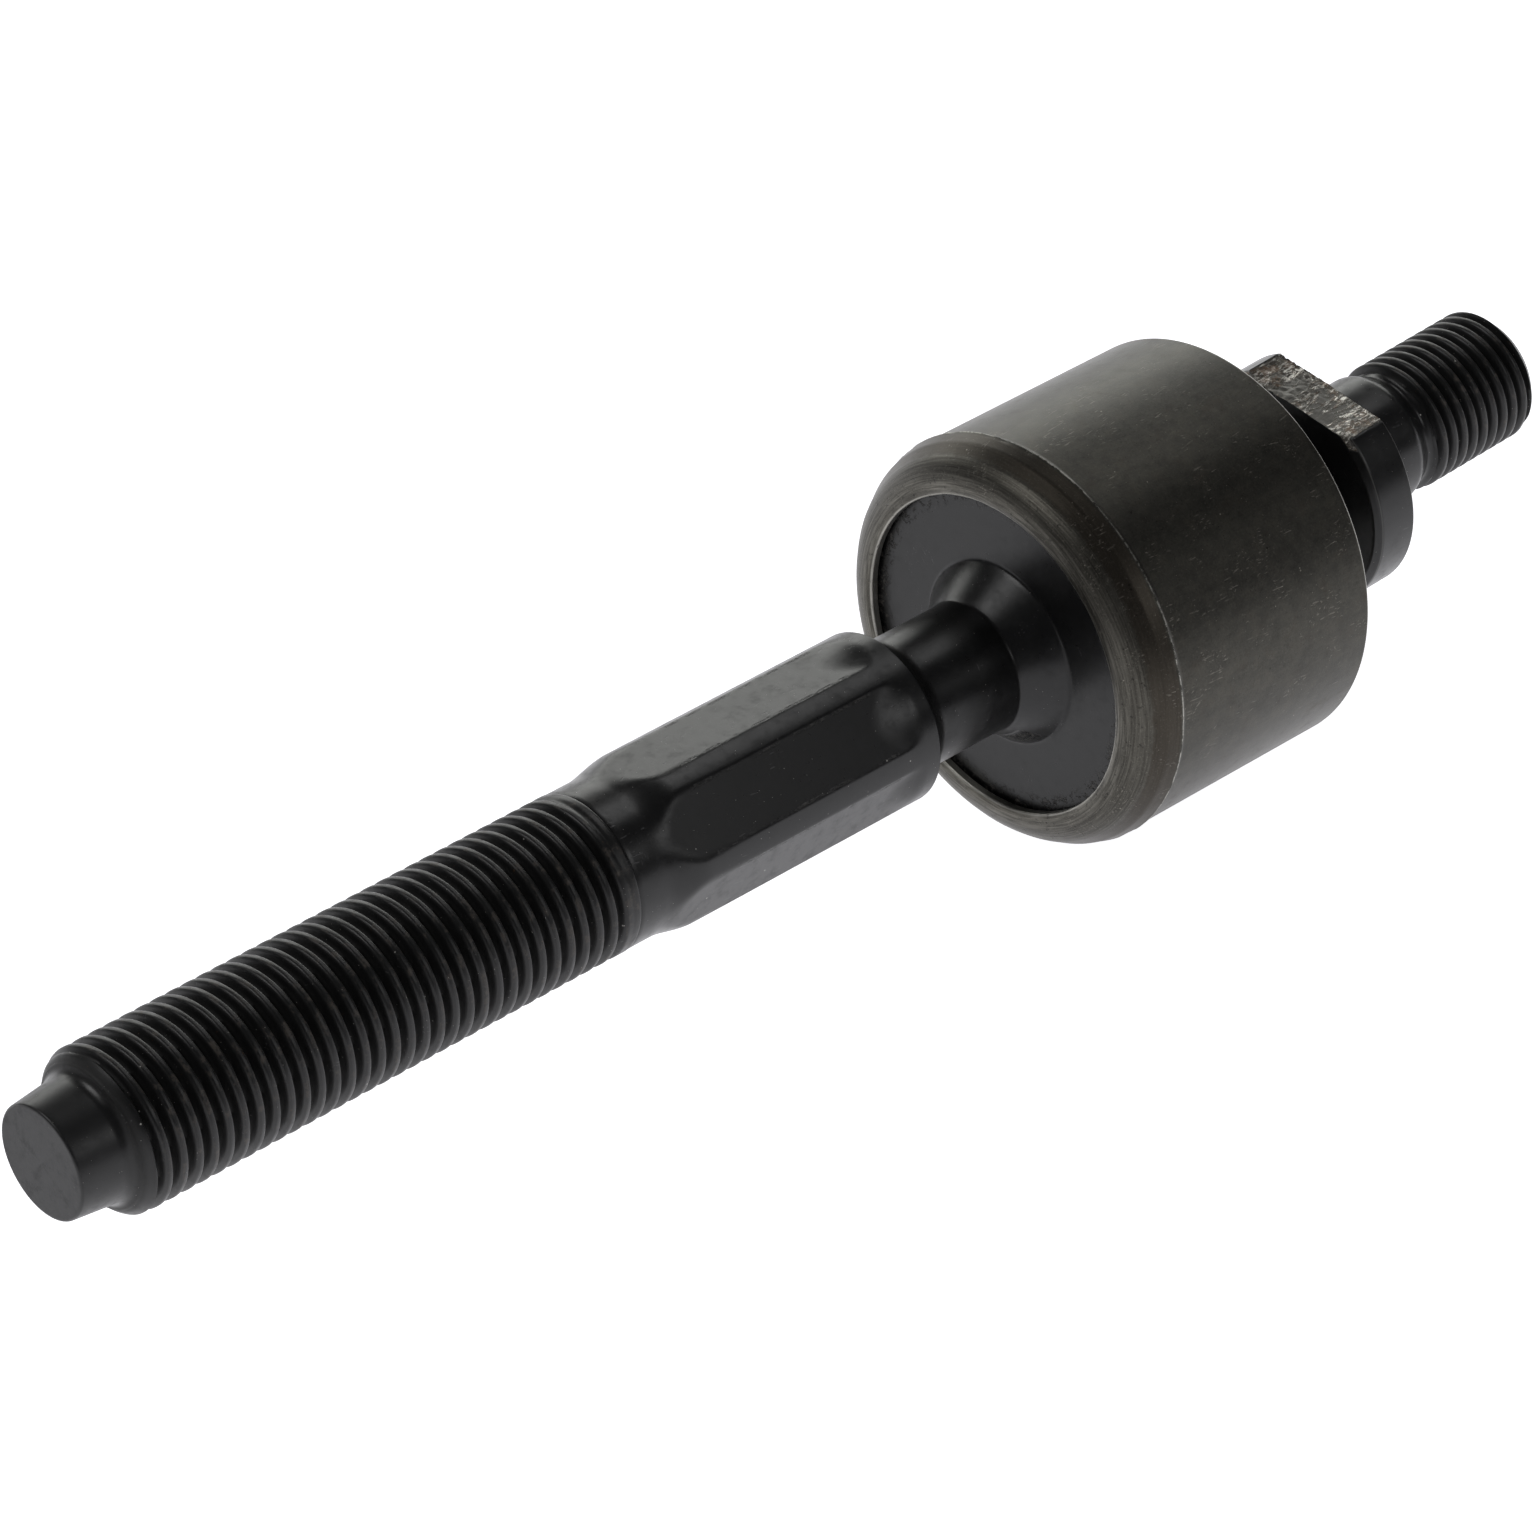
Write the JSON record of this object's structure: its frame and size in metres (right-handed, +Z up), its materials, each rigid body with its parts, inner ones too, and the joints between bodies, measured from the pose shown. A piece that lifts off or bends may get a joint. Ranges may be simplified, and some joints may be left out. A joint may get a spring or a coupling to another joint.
{
  "type": "inner tie rod end",
  "caption": "Steering inner tie rod with threaded rod, hex section, round crimped housing and a swivelling threaded ball stud.",
  "frame": {"origin": "centre of the flat face at the long rod's tip", "axes": "+X along the rod, through the housing towards the ball stud; +Z up"},
  "size_m": [0.1613, 0.0368, 0.0368],
  "materials": {
    "black_paint": "satin black paint on forged steel",
    "dark_steel": "dark phosphated steel, worn brighter at its edges",
    "stud_black": "satin black paint, bare sheared flats",
    "acetal": "natural moulded plastic",
    "bare_steel": "turned steel, greased",
    "seal_rubber": "matt rubber"
  },
  "bodies": {
    "rod_and_housing": {"tie_rod": "black_paint", "housing": "dark_steel", "pressure_cup": "bare_steel", "disc_spring": "bare_steel", "seal_ring": "seal_rubber"},
    "turning_seat": {"rear_seat": "acetal"},
    "tilting_seat": {"front_seat": "acetal"},
    "stud": {"ball_stud": "stud_black"}
  },
  "joints": [
    {"name": "seat_turn", "type": "hinge", "parent": "rod_and_housing", "child": "turning_seat", "pos_m": [0.1162, 0, 0], "axis": [1, 0, 0], "continuous": true},
    {"name": "stud_tilt", "type": "hinge", "parent": "turning_seat", "child": "tilting_seat", "pos_m": [0.1162, 0, 0], "axis": [0, -0.9751, -0.2215], "range_deg": [-23.5, 16.5]},
    {"name": "stud_spin", "type": "hinge", "parent": "tilting_seat", "child": "stud", "pos_m": [0.1162, 0, 0], "axis": [0.9982, -0.0134, 0.0592], "continuous": true}
  ]
}
